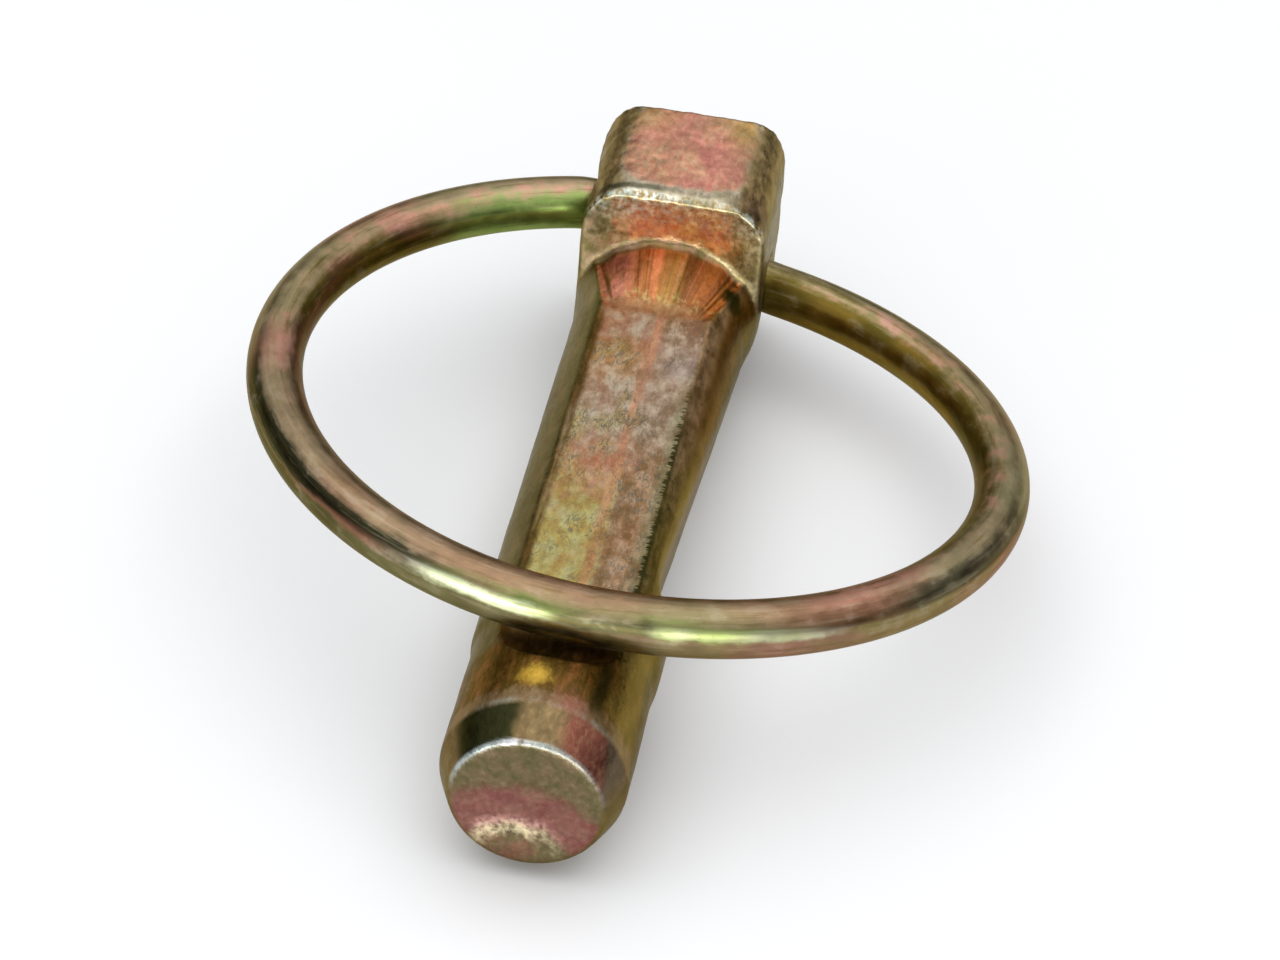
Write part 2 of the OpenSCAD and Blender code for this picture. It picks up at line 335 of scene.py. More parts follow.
def half_wire(flip):
    """One half of the ring, from its far point to its end inside the head."""
    place = ring_place @ flip
    turned = place.to_3x3()
    bpy.ops.mesh.primitive_circle_add(vertices=40, radius=WIRE_R * MM, fill_type="NOTHING",
                                      location=(0, 0, 0))
    wire = bpy.context.object
    settle(wire, Matrix.Rotation(math.pi / 2, 4, "X"))
    shift = Matrix.Translation(Vector((far_x, 0, 0)) * MM)
    place_m = Matrix.Translation(place.translation * MM) @ turned.to_4x4()
    settle(wire, place_m @ shift)
    edit(wire)
    bpy.ops.mesh.spin(steps=150, angle=SPIN_WAY * arc, center=(place @ half_centre) * MM,
                      axis=turned @ half_axis)
    bpy.ops.mesh.spin(steps=8, angle=SPIN_WAY * bend_turn, center=(place @ bend_mid) * MM,
                      axis=turned @ bend_axis)
    step = (turned @ inward) * (corner_s - SETBACK - (side_s - END_DEPTH)) * MM
    bpy.ops.mesh.extrude_region_move(TRANSFORM_OT_translate={"value": step})
    bpy.ops.mesh.edge_face_add()
    bpy.ops.mesh.inset(thickness=0.25 * MM)
    bpy.ops.transform.translate(value=(turned @ inward) * 0.2 * MM)
    done()
    return wire


def coil_ring():
    low = half_wire(Matrix.Identity(4))
    high = half_wire(Matrix.Rotation(math.pi, 4, "X"))
    deselect()
    low.select_set(True)
    high.select_set(True)
    bpy.context.view_layer.objects.active = low
    bpy.ops.object.join()
    edit(low)
    bpy.ops.mesh.remove_doubles(threshold=0.01 * MM)
    bpy.ops.mesh.normals_make_consistent(inside=False)
    done()
    low.name = "wire_ring"
    return low


def note_wire(ring):
    """Keeps, for each place on the wire, how far along it lies and where it is around the wire."""
    p, _ = points_of(ring.data)
    back = np.array(ring_place.inverted())
    q = p @ back[:3, :3].T + back[:3, 3]
    sign = np.where(q[:, 1] >= 0, 1.0, -1.0)
    q[:, 1:] *= sign[:, None]
    q -= np.array(half_centre)
    c, s = math.cos(fold), math.sin(fold)
    u = q[:, 0] * c + q[:, 2] * s
    w = -q[:, 0] * s + q[:, 2] * c
    angle = np.arctan2(q[:, 1], u)
    out = np.hypot(u, q[:, 1]) - RING_R
    place = np.stack([sign * angle * RING_R, out, w * sign], 1)
    layer = ring.data.attributes.new("wire", "FLOAT_VECTOR", "POINT")
    layer.data.foreach_set("vector", place.astype(np.float32).ravel())


# ---------- finishes ----------

class Finish:
    """A metal material under construction; lengths in it are millimetres."""

    def __init__(self, name):
        self.material = bpy.data.materials.new(name)
        self.material.use_nodes = True
        self.tree = self.material.node_tree
        self.shader = self.tree.nodes["Principled BSDF"]
        place = self.tree.nodes.new("ShaderNodeTexCoord").outputs["Object"]
        scale = self.tree.nodes.new("ShaderNodeMapping")
        scale.inputs["Scale"].default_value = (1 / MM, 1 / MM, 1 / MM)
        self.tree.links.new(place, scale.inputs["Vector"])
        self.mm = scale.outputs["Vector"]

    def feed(self, socket, value):
        if hasattr(value, "is_output"):
            self.tree.links.new(value, socket)
        elif isinstance(value, tuple) and len(value) == 3 and socket.type == "RGBA":
            socket.default_value = (*value, 1)
        else:
            socket.default_value = value

    def noted(self, name, vector=False):
        """A value that was kept on the mesh."""
        node = self.tree.nodes.new("ShaderNodeAttribute")
        node.attribute_name = name
        return node.outputs["Vector" if vector else "Fac"]

    def stretch(self, vector, by, shift=(0, 0, 0)):
        node = self.tree.nodes.new("ShaderNodeMapping")
        node.inputs["Scale"].default_value = by
        node.inputs["Location"].default_value = shift
        self.tree.links.new(vector, node.inputs["Vector"])
        return node.outputs["Vector"]

    def noise(self, scale, detail, rough, vector=None, twist=0.0):
        node = self.tree.nodes.new("ShaderNodeTexNoise")
        node.inputs["Scale"].default_value = scale
        node.inputs["Detail"].default_value = detail
        node.inputs["Roughness"].default_value = rough
        node.inputs["Distortion"].default_value = twist
        self.tree.links.new(vector or self.mm, node.inputs["Vector"])
        return node.outputs["Fac"]

    def step(self, value, low, high, to_low=0.0, to_high=1.0):
        """Goes smoothly from to_low at low to to_high at high; low may be the larger one."""
        node = self.tree.nodes.new("ShaderNodeMapRange")
        node.interpolation_type = "SMOOTHSTEP"
        self.feed(node.inputs["Value"], value)
        for key, number in (("From Min", low), ("From Max", high), ("To Min", to_low), ("To Max", to_high)):
            node.inputs[key].default_value = number
        return node.outputs["Result"]

    def math(self, how, a, b=0.0):
        node = self.tree.nodes.new("ShaderNodeMath")
        node.operation = how
        self.feed(node.inputs[0], a)
        self.feed(node.inputs[1], b)
        return node.outputs[0]

    def plus(self, a, b):
        return self.math("ADD", a, b)

    def times(self, *values):
        total = values[0]
        for value in values[1:]:
            total = self.math("MULTIPLY", total, value)
        return total

    def larger(self, a, b):
        return self.math("MAXIMUM", a, b)

    def sway(self, noise, amount):
        """A noise turned into a shift to either side, amount wide in all."""
        return self.times(self.math("SUBTRACT", noise, 0.5), amount)

    def reach(self, a, b):
        """The length of a and b taken as the two sides of a right angle."""
        return self.math("SQRT", self.plus(self.times(a, a), self.times(b, b)))

    def away(self, value, middle, shift=None):
        """How far a value is from a middle that may be shifted by a noise."""
        gap = self.math("SUBTRACT", value, middle)
        if shift is not None:
            gap = self.plus(gap, shift)
        return self.math("ABSOLUTE", gap)

    def line(self, value, middle, outer, inner, shift=None, to_high=1.0):
        """A stripe that is full within inner of its middle and gone beyond outer."""
        return self.step(self.away(value, middle, shift), outer, inner, 0.0, to_high)

    def parts(self, vector):
        node = self.tree.nodes.new("ShaderNodeSeparateXYZ")
        self.tree.links.new(vector, node.inputs[0])
        return node.outputs[0], node.outputs[1], node.outputs[2]

    def blend(self, amount, a, b):
        """Colour a where amount is 0, colour b where it is 1."""
        node = self.tree.nodes.new("ShaderNodeMix")
        node.data_type = "RGBA"
        self.feed(node.inputs[0], amount)
        self.feed(node.inputs[6], a)
        self.feed(node.inputs[7], b)
        return node.outputs[2]

    def cover(self, colour, paint, *masks):
        """Lays a paint over a colour, as strongly as all its masks together allow."""
        return self.blend(self.times(*masks), colour, paint)

    def spot(self, at, reach, soft, rag=None, rag_size=0.0):
        """A round spot, ragged by a noise."""
        node = self.tree.nodes.new("ShaderNodeVectorMath")
        node.operation = "DISTANCE"
        self.tree.links.new(self.mm, node.inputs[0])
        node.inputs[1].default_value = at
        far = node.outputs["Value"]
        if rag is not None:
            far = self.plus(far, self.sway(rag, rag_size))
        return self.step(far, reach + soft, reach - soft)

    def patchy(self, mask, noise, amount, soft=0.25):
        """A mask broken up by a noise; a plain number makes that share of it patches."""
        return self.step(self.plus(mask, self.sway(noise, amount)), 0.5 - soft, 0.5 + soft)

    def mottle(self, noise, amount, a, b, soft=0.25):
        """Two colours in patches, about half and half."""
        return self.blend(self.patchy(0.5, noise, amount, soft), a, b)

    def shade(self, colour, factor):
        node = self.tree.nodes.new("ShaderNodeVectorMath")
        node.operation = "SCALE"
        self.tree.links.new(colour, node.inputs[0])
        self.feed(node.inputs["Scale"], factor)
        return node.outputs[0]

    def bump(self, height, strength, distance, normal=None):
        node = self.tree.nodes.new("ShaderNodeBump")
        node.inputs["Strength"].default_value = strength
        node.inputs["Distance"].default_value = distance * MM
        self.tree.links.new(height, node.inputs["Height"])
        if normal is not None:
            self.tree.links.new(normal, node.inputs["Normal"])
        return node.outputs["Normal"]

    def metal(self, colour, rough, normal):
        """Closes the material as bare plated metal."""
        self.tree.links.new(colour, self.shader.inputs["Base Color"])
        self.tree.links.new(rough, self.shader.inputs["Roughness"])
        self.tree.links.new(normal, self.shader.inputs["Normal"])
        self.shader.inputs["Metallic"].default_value = 1.0
        self.shader.inputs["Specular Tint"].default_value = EDGE_TINT
        return self.material


EDGE_TINT = (0.66, 0.60, 0.47, 1)
NEAR_BLACK = (0.026, 0.025, 0.008)
TAPER_START = 42.75
REAR_X = -12.7

# The worn patch on top of the head, a square with round corners
PATCH_MIDDLE = -8.7
PATCH_HALF_LONG = 4.3
PATCH_HALF_WIDE = 3.95
PATCH_SQUARENESS = 4.0


def flanks(f):
    """Pale olive on the high side, brown and rust on the low side, with long streaks."""
    x, z, soft, mid, streak = f.x, f.z, f.soft, f.mid, f.streak
    high = f.blend(f.step(soft, 0.4, 0.65), (0.13, 0.105, 0.045), (0.22, 0.15, 0.08))
    high = f.blend(f.step(streak, 0.4, 0.62), (0.165, 0.14, 0.062), high)
    down = f.blend(f.step(soft, 0.45, 0.62), (0.17, 0.11, 0.02), (0.24, 0.10, 0.02))
    down = f.blend(f.step(streak, 0.42, 0.6), (0.13, 0.10, 0.022), down)
    # The low side grows lighter upward, and has a tan strip next to the first half of the recess
    lighter = f.blend(f.step(streak, 0.4, 0.6), (0.34, 0.23, 0.06), (0.25, 0.19, 0.055))
    lighter = f.blend(f.step(x, 10, 20), (0.23, 0.11, 0.035), lighter)
    down = f.cover(down, lighter, f.step(z, 1.0, 2.6), 0.7)
    strip = f.times(f.step(z, 3.0, 3.7), f.step(x, 26, 14))
    down = f.cover(down, (0.46, 0.29, 0.16), strip, f.patchy(0.6, mid, 1.8, 0.4), 0.85)
    colour = f.blend(f.step(f.low, -0.1, 0.3), high, down)
    colour = f.cover(colour, (0.30, 0.26, 0.12), f.step(soft, 0.55, 0.72), 0.35)
    under = f.blend(f.step(mid, 0.4, 0.6), (0.30, 0.17, 0.09), (0.26, 0.25, 0.08))
    under = f.blend(f.step(soft, 0.38, 0.62), (0.20, 0.15, 0.055), under)
    return f.blend(f.step(f.up, -0.1, -0.6), colour, under)


def recess_floor(f, colour):
    """Pink near the head, frosty in the middle, yellow further on, brown on the low side, with painted shade
    under the closed wire.
    """
    x, y, soft, mid, fine, streak = f.x, f.y, f.soft, f.mid, f.fine, f.streak
    base = f.mottle(soft, 3.0, (0.38, 0.17, 0.09), (0.37, 0.22, 0.075), 0.4)
    base = f.cover(base, (0.34, 0.22, 0.13), f.patchy(0.35, mid, 2.4), 0.6)
    yellow = f.blend(f.step(mid, 0.38, 0.6), (0.46, 0.34, 0.10), (0.42, 0.38, 0.11))
    further_on = f.patchy(f.step(x, 10, 27), soft, 2.6, 0.4)
    base = f.cover(base, yellow, further_on, f.patchy(f.step(y, 2.6, -1.4), mid, 1.2, 0.4), 0.95)
    brown = f.blend(f.step(mid, 0.38, 0.62), (0.25, 0.14, 0.06), (0.36, 0.18, 0.085))
    low_part = f.step(f.plus(y, f.sway(streak, 1.0)), 0.45, 1.5)
    base = f.cover(base, brown, f.patchy(low_part, soft, 1.6, 0.35), 0.85)
    base = f.cover(base, (0.45, 0.20, 0.05), f.spot((9.0, -1.8, FLOOR_Z), 1.6, 1.8, soft, 4), 0.7)
    base = f.cover(base, (0.50, 0.18, 0.11), f.spot((19.0, -1.0, FLOOR_Z), 2.0, 1.8, soft, 4), 0.75)

    # Frost in one large and two small places, then greyer and redder patches
    frost = f.blend(f.step(mid, 0.4, 0.6), (0.40, 0.36, 0.30), (0.50, 0.45, 0.36))
    grain = f.patchy(0.45, f.plus(f.times(mid, 0.8), f.times(fine, 0.2)), 2.0, 0.45)
    small = f.larger(f.spot((5.6, 2.1, 4.2), 1.8, 1.6, soft, 3), f.spot((4.6, -0.2, 4.2), 1.2, 1.2, soft, 3))
    cold = f.larger(f.spot((13.0, 0.4, FLOOR_Z), 4.2, 3.0, soft, 6), small)
    base = f.cover(base, frost, cold, f.step(grain, 0.0, 1.0, 0.26, 0.70))
    base = f.cover(base, (0.28, 0.14, 0.085), f.spot((4.2, 2.7, 4.2), 1.0, 1.0, mid, 2.5), 0.7)
    base = f.cover(base, (0.43, 0.39, 0.30), f.patchy(0.4, mid, 2.2, 0.4), 0.36)
    base = f.cover(base, (0.40, 0.36, 0.36), f.spot((8.0, 2.3, FLOOR_Z), 1.0, 1.4, soft, 3), 0.5)

    # A wandering red line near the middle, a grey edge, fine veins and specks
    red_line = f.line(y, 0.35, 0.45, 0.1, f.sway(streak, 1.2))
    base = f.cover(base, (0.50, 0.22, 0.11), red_line, f.patchy(0.65, mid, 2.0), 0.65)
    edge = f.times(f.step(y, 2.4, 3.2), f.step(x, 7, 14))
    base = f.cover(base, (0.24, 0.23, 0.12), edge, f.patchy(0.65, mid, 1.8), 0.7)
    base = f.cover(base, (0.17, 0.15, 0.11), f.veins, f.patchy(0.5, soft, 2.5), 0.8)
    base = f.cover(base, (0.55, 0.48, 0.36), f.step(f.speck, 0.60, 0.70), 0.35)

    # Painted shade: dark brown under the closed wire
    dark = f.blend(f.step(streak, 0.4, 0.6), (0.15, 0.085, 0.025), (0.22, 0.12, 0.045))
    base = f.cover(base, dark, f.patchy(f.step(x, 33.6, 36.4), mid, 1.2, 0.4))
    return f.cover(colour, base, f.noted("floor"))


def recess_borders(f, colour):
    """Painted shade in the grooves along the recess borders: a thin brown line on the high side, dark and
    toothed on the low side.
    """
    x, y, z, streak = f.x, f.y, f.z, f.streak
    brown = f.blend(f.step(f.mid, 0.4, 0.6), (0.075, 0.045, 0.010), (0.12, 0.06, 0.014))
    thin = f.times(f.line(y, -3.30, 0.55, 0.08, f.wander), f.step(z, 3.3, 3.8))
    thin = f.times(thin, f.step(x, 2, 4), f.step(x, 37, 36))
    colour = f.cover(colour, brown, thin, f.step(streak, 0.35, 0.55, 0.45, 0.95))
    teeth = f.noise(4.5, 2, 0.6, f.stretch(f.mm, (1, 0.15, 0.15)))
    inside = f.step(f.math("SUBTRACT", y, f.step(teeth, 0.4, 0.6, 3.16, 3.42)), -0.05, 0.12)
    toothed = f.times(inside, f.step(y, 3.72, 3.48), f.step(z, 2.9, 3.6))
    toothed = f.times(toothed, f.step(x, 5, 16), f.step(x, 37.5, 36.5))
    return f.cover(colour, (0.032, 0.032, 0.010), toothed, f.step(streak, 0.3, 0.5, 0.55, 0.97))


def run_in(f, colour):
    """Salmon and orange folds that fan out, with painted shade in their creases, a painted highlight on one
    fold and yellow streaks.
    """
    x, y, mid, fine = f.x, f.y, f.mid, f.fine
    turn = f.noted("fan_turn")
    spread = f.noted("fan_turn", True)
    rays = f.noise(1.0, 2, 0.6, f.stretch(spread, (24, 24, 24)))
    narrow = f.noise(1.0, 2, 0.6, f.stretch(spread, (46, 46, 46), (5, 5, 5)))
    creases = f.noise(1.0, 2, 0.6, f.stretch(spread, (20, 20, 20), (9, 1, 2)))
    fan = f.blend(f.step(rays, 0.4, 0.6), (0.46, 0.17, 0.09), (0.44, 0.15, 0.045))
    fan = f.cover(fan, (0.74, 0.28, 0.22), f.step(y, -1.4, -2.8), 0.8)
    fan = f.cover(fan, (0.72, 0.25, 0.09), f.step(y, 1.6, 3.0), 0.8)
    fan = f.cover(fan, (0.48, 0.27, 0.08), f.step(narrow, 0.50, 0.66), 0.5)
    # Painted shade in the creases
    fan = f.cover(fan, (0.12, 0.045, 0.012), f.step(creases, 0.50, 0.36), 0.75)
    # Painted shade on one fold beside the middle, a painted highlight on the one next to it, yellow between
    # them
    fan = f.cover(fan, (0.14, 0.07, 0.02), f.line(turn, 0.11, 0.07, 0.02), f.step(rays, 0.35, 0.5), 0.7)
    fan = f.cover(fan, (0.70, 0.24, 0.10), f.line(turn, -0.045, 0.035, 0.01), 0.8)
    fan = f.cover(fan, (0.38, 0.24, 0.05), f.line(y, 0.5, 1.0, 0.3), f.step(narrow, 0.42, 0.52), 0.6)
    fan = f.cover(fan, (0.40, 0.14, 0.12), f.spot((-1.6, -3.2, 4.6), 0.9, 0.6), 0.85)
    # The foot of the fan runs out into the floor's colours
    foot = f.blend(fine, (0.36, 0.17, 0.08), (0.40, 0.27, 0.14))
    fan = f.cover(fan, foot, f.patchy(f.step(x, 0.6, 3.2), mid, 1.2), 0.75)
    fan = f.cover(fan, (0.17, 0.07, 0.02), f.patchy(0.4, mid, 2.4), 0.55)
    fan = f.cover(fan, (0.42, 0.36, 0.14), f.line(x, 1.6, 0.9, 0.2), f.patchy(0.3, fine, 2.5), 0.6)
    colour = f.cover(colour, fan, f.patchy(f.noted("fan"), mid, 1.0))
    # Painted shade in the hollow at the low end of the crest
    return f.cover(colour, NEAR_BLACK, f.spot((-1.0, 4.4, 3.3), 0.9, 0.5, mid, 1.6))


def shoulder_face(f, colour):
    """An olive border round a warm, mottled middle."""
    y, z, mid, fine = f.y, f.z, f.mid, f.fine
    face = f.mottle(mid, 2.4, (0.46, 0.37, 0.15), (0.60, 0.50, 0.27))
    warm = f.mottle(mid, 2.4, (0.86, 0.40, 0.27), (0.84, 0.52, 0.24))
    middle = f.times(f.step(f.side, 4.9, 2.6), f.step(z, 4.8, 6.6), f.step(z, 9.2, 7.8))
    face = f.cover(face, warm, f.patchy(middle, mid, 2.0, 0.35), 0.9)
    face = f.cover(face, (0.90, 0.42, 0.26), f.spot((SHOULDER, -1.0, 6.9), 1.2, 1.0, fine, 2.0), 0.6)
    face = f.cover(face, (0.34, 0.22, 0.08), f.patchy(0.3, fine, 2.2), 0.30)
    face = f.cover(face, (0.62, 0.38, 0.24), f.step(y, -2.6, -4.2), f.patchy(0.45, mid, 2.2), 0.6)
    return f.cover(colour, face, f.noted("shoulder"))


def head_sides(f, colour):
    """Olive, lighter and browner toward the top."""
    sides = f.blend(f.step(f.low, -0.2, 0.3), (0.13, 0.10, 0.032), (0.19, 0.17, 0.11))
    sides = f.blend(f.patchy(0.5, f.soft, 2.0), (0.30, 0.235, 0.10), sides)
    upper = f.mottle(f.mid, 1.5, (0.30, 0.22, 0.085), (0.40, 0.26, 0.12))
    sides = f.cover(sides, upper, f.step(f.up, 0.15, 0.6), 0.8)
    return f.cover(colour, sides, f.noted("head"))


def head_top(f, colour):
    """A pink worn patch with two yellow corners at the rear and a greyish border."""
    x, y, z, soft, mid, fine = f.x, f.y, f.z, f.soft, f.mid, f.fine
    along = f.math("POWER", f.times(f.away(x, PATCH_MIDDLE), 1 / PATCH_HALF_LONG), PATCH_SQUARENESS)
    across = f.math("POWER", f.times(f.side, 1 / PATCH_HALF_WIDE), PATCH_SQUARENESS)
    patch = f.step(f.plus(along, across), 1.7, 0.45)
    top = f.mottle(soft, 3.0, (0.58, 0.225, 0.175), (0.54, 0.25, 0.15), 0.45)
    top = f.cover(top, (0.46, 0.31, 0.17), f.patchy(0.28, mid, 2.0, 0.4), 0.5)
    top = f.cover(top, (0.52, 0.36, 0.09), f.spot((-11.8, 3.6, 8.8), 1.6, 1.6, mid, 2.5), 0.8)
    top = f.cover(top, (0.50, 0.33, 0.10), f.spot((-11.5, -2.8, 8.8), 1.4, 1.5, mid, 2.5), 0.6)
    border = f.mottle(mid, 1.8, (0.40, 0.33, 0.21), (0.50, 0.43, 0.32))
    top = f.blend(f.patchy(patch, mid, 1.5, 0.3), border, top)
    top = f.cover(top, (0.46, 0.38, 0.27), f.patchy(0.25, fine, 2.0), 0.3)
    top = f.cover(top, (0.42, 0.38, 0.24), f.veins, f.patchy(0.5, soft, 2), 0.5)
    colour = f.cover(colour, top, f.noted("head_top"))

    # A painted dark reflection in a line behind the crest, and three dark spots on the corners next to the
    # shoulder
    dark_reflection_behind_crest = f.times(f.line(x, -3.9, 0.45, 0.1, f.wander), f.step(y, 1.0, -2.0), f.step(z, 7.5, 8.3))
    colour = f.cover(colour, (0.05, 0.06, 0.035), dark_reflection_behind_crest, 0.75)
    colour = f.cover(colour, (0.10, 0.05, 0.045), f.spot((-4.6, 4.7, 7.8), 1.1, 0.9, mid, 2.5), 0.75)
    colour = f.cover(colour, (0.05, 0.047, 0.02), f.spot((-4.0, -5.3, 6.6), 1.2, 1.1, mid, 2.5), 0.8)
    return f.cover(colour, (0.08, 0.065, 0.05), f.spot((-4.0, 5.9, 3.0), 1.2, 1.2, fine, 2.5), 0.6)


def rear_face(f, colour):
    """Green and brown, yellow toward the top, with a pale, a pink and a small grey patch."""
    mid, fine = f.mid, f.fine
    end = f.mottle(f.soft, 2.4, (0.19, 0.23, 0.055), (0.29, 0.20, 0.09), 0.4)
    end = f.cover(end, (0.45, 0.43, 0.14), f.patchy(f.step(f.z, 4.6, 7.6), mid, 1.8, 0.4), 0.8)
    end = f.cover(end, (0.34, 0.21, 0.15), f.spot((REAR_X, 0.6, 2.4), 2.2, 1.6, mid, 5.0), 0.65)
    pale = f.spot((REAR_X, -1.2, 6.8), 2.0, 1.4, fine, 3.0)
    end = f.cover(end, (0.80, 0.76, 0.46), pale, f.patchy(0.4, fine, 2.4), 0.8)
    end = f.cover(end, (0.46, 0.40, 0.34), f.spot((REAR_X, -2.4, 0.2), 0.8, 0.7, fine, 2.4), 0.6)
    end = f.cover(end, (0.13, 0.11, 0.03), f.patchy(0.3, fine, 2.2), 0.35)
    end = f.cover(end, (0.22, 0.09, 0.045), f.veins, 0.6)
    return f.cover(colour, end, f.noted("head_end"))


def collar(f, colour):
    """Between the closed wire and the taper: bronze, a painted gold reflection, a pale worn line with a
    painted highlight, a dark streak.
    """
    x, y, z, mid, fine = f.x, f.y, f.z, f.mid, f.fine
    here = f.times(f.step(x, 36.5, 37.6), f.step(x, 43.4, 42.7), f.step(f.up, -0.1, 0.35))
    bronze = f.mottle(mid, 1.5, (0.15, 0.09, 0.02), (0.26, 0.11, 0.035))
    bronze = f.blend(f.step(f.streak, 0.4, 0.6), (0.12, 0.068, 0.014), bronze)
    colour = f.cover(colour, bronze, here, f.step(y, 4.0, 2.4, 0.1, 1))
    # Painted reflection: a gold patch just past the closed wire
    colour = f.cover(colour, (0.78, 0.48, 0.075), f.spot((40.5, -0.7, 5.4), 0.75, 0.6, fine, 1.6), 0.9)
    toward_taper = f.patchy(f.times(here, f.step(x, 40.6, 42.8)), mid, 1.5)
    colour = f.cover(colour, (0.30, 0.20, 0.11), toward_taper, 0.7)
    colour = f.cover(colour, (0.42, 0.16, 0.11), f.spot((42.4, 1.7, 5.1), 0.9, 0.8, fine, 2.4), 0.7)
    # A pale line along the edge of the taper: wear with a painted highlight
    worn_edge_highlight = f.times(f.line(x, TAPER_START, 0.45, 0.05), f.step(z, 2.5, 4.0), f.patchy(0.5, mid, 2.4))
    colour = f.cover(colour, (0.31, 0.30, 0.23), worn_edge_highlight, 0.6)
    streak = f.times(f.line(y, 3.0, 0.6, 0.15, f.wander), f.step(x, 37, 38), f.step(x, 43, 41))
    return f.cover(colour, NEAR_BLACK, streak, f.step(z, 2, 3), 0.85)


def tapered_band(f, colour):
    """Tan, red on the low side, with a painted near-black reflection on the high side."""
    y, z, mid, fine = f.y, f.z, f.mid, f.fine
    band = f.mottle(mid, 1.5, (0.16, 0.11, 0.05), (0.21, 0.14, 0.065))
    red_part = f.step(f.plus(y, f.sway(fine, 1.5)), 0.8, 2.6)
    band = f.cover(band, (0.22, 0.075, 0.05), f.patchy(red_part, mid, 1.0, 0.4))
    band = f.cover(band, (0.26, 0.20, 0.10), f.patchy(0.3, fine, 2.0), 0.35)
    # Painted dark reflection, nearly black, on the high side
    reflected_black = f.step(f.plus(y, f.sway(f.soft, 2.5)), -0.2, -1.6)
    reflected_black = f.times(reflected_black, f.step(y, -5.2, -3.6), f.step(z, 1.2, 3.2))
    band = f.cover(band, (0.03, 0.03, 0.011), f.patchy(reflected_black, mid, 0.9, 0.45))
    band = f.cover(band, (0.13, 0.095, 0.06), f.patchy(f.step(y, 3.4, 4.6), mid, 0.8, 0.3))
    band = f.cover(band, (0.17, 0.125, 0.045), f.step(z, 1.8, -0.8))
    return f.cover(colour, band, f.noted("band"))


def end_face(f, colour):
    """Rose, olive along its upper edge, with a painted cream glint; a painted highlight on the rim above and
    to the high side.
    """
    y, z, mid, fine = f.y, f.z, f.mid, f.fine
    # The zones of the face are arches about a point below it
    arch = f.reach(f.plus(y, 0.4), f.plus(z, 5.4))
    arch = f.plus(arch, f.sway(mid, 1.6))
    face = f.mottle(f.soft, 2.0, (0.22, 0.115, 0.07), (0.18, 0.145, 0.07))
    rose = f.blend(f.patchy(0.45, mid, 1.6, 0.4), (0.27, 0.10, 0.085), (0.22, 0.115, 0.085))
    face = f.cover(face, rose, f.step(arch, 3.4, 4.2))
    olive = f.mottle(mid, 1.6, (0.155, 0.135, 0.06), (0.18, 0.125, 0.072), 0.4)
    face = f.cover(face, olive, f.step(arch, 5.8, 7.0))
    # Painted glint: a cream reflection in a curved band low on the face
    cream = f.blend(f.step(arch, 3.6, 4.3), (0.86, 0.74, 0.46), (0.74, 0.42, 0.36))
    glint = f.times(f.step(arch, 2.7, 3.5), f.step(arch, 4.7, 4.0))
    glint = f.times(glint, f.step(y, -3.3, -2.3), f.step(y, 2.8, 0.0))
    face = f.cover(face, cream, glint, f.patchy(0.6, fine, 1.6, 0.4), 0.9)
    face = f.cover(face, (0.34, 0.22, 0.15), f.patchy(0.15, fine, 2.0, 0.3), 0.2)
    colour = f.cover(colour, face, f.noted("tip_end"))

    # Painted highlight along the rim, brightest above and on the high side
    pale = f.blend(f.spot((TIP - 0.5, -0.9, 3.9), 0.8, 0.9), (0.50, 0.57, 0.54), (0.95, 0.93, 0.95))
    fading = f.step(f.math("SUBTRACT", y, f.times(mid, 2.0)), 4.0, -2.0, 0.25, 0.9)
    shine = f.times(f.noted("rim"), f.step(z, 0.0, 2.2), fading)
    return f.cover(colour, pale, shine, f.patchy(0.75, mid, 1.6), 0.9)


def wear_and_painted_light(f, colour):
    """Plating varies a little everywhere; high edges are worn pale; a painted highlight lies on the
    shoulder's crest and painted shade in the corners of hollows.
    """
    x, y, z, mid, fine = f.x, f.y, f.z, f.mid, f.fine
    colour = f.shade(colour, f.step(mid, 0.3, 0.7, 0.84, 1.16))
    colour = f.shade(colour, f.step(fine, 0.3, 0.7, 0.88, 1.12))
    pale = f.blend(f.step(fine, 0.4, 0.6), (0.46, 0.40, 0.22), (0.92, 0.88, 0.68))
    worn = f.times(f.noted("edge"), f.patchy(0.5, mid, 2.4))
    spared = f.times(f.step(x, -3.6, -3.2), f.step(x, 0.0, -1.0), f.step(y, 3.6, 1.2), 0.85)
    worn = f.times(worn, f.math("SUBTRACT", 1.0, spared))
    colour = f.cover(colour, pale, worn, 0.75)

    # A painted highlight on the crest of the shoulder, least between its two sides, and the bead below it is
    # tan
    crest_highlight = f.blend(f.step(mid, 0.4, 0.6), (0.50, 0.57, 0.50), (0.86, 0.90, 0.80))
    crest = f.times(f.line(x, -3.22, 0.36, 0.08), f.step(z, 6.4, 7.8), f.patchy(0.5, fine, 2.4))
    both_sides = f.larger(f.step(y, 0.6, -1.0, 0.40, 0.85), f.step(y, 3.4, 4.6, 0.0, 0.85))
    colour = f.cover(colour, crest_highlight, crest, both_sides)
    tan = f.mottle(mid, 2.0, (0.17, 0.13, 0.045), (0.26, 0.16, 0.10))
    bead = f.times(f.line(f.reach(y, z), 5.65, 0.36, 0.15), f.line(x, -2.85, 0.6, 0.3))
    bead = f.times(bead, f.step(z, 1.5, 3.0))
    colour = f.cover(colour, tan, bead, f.step(y, 3.4, 1.8), 0.85)
    # Painted shade in the corners of hollows
    return f.cover(colour, (0.045, 0.034, 0.010), f.noted("hollow_shade"), 0.75)


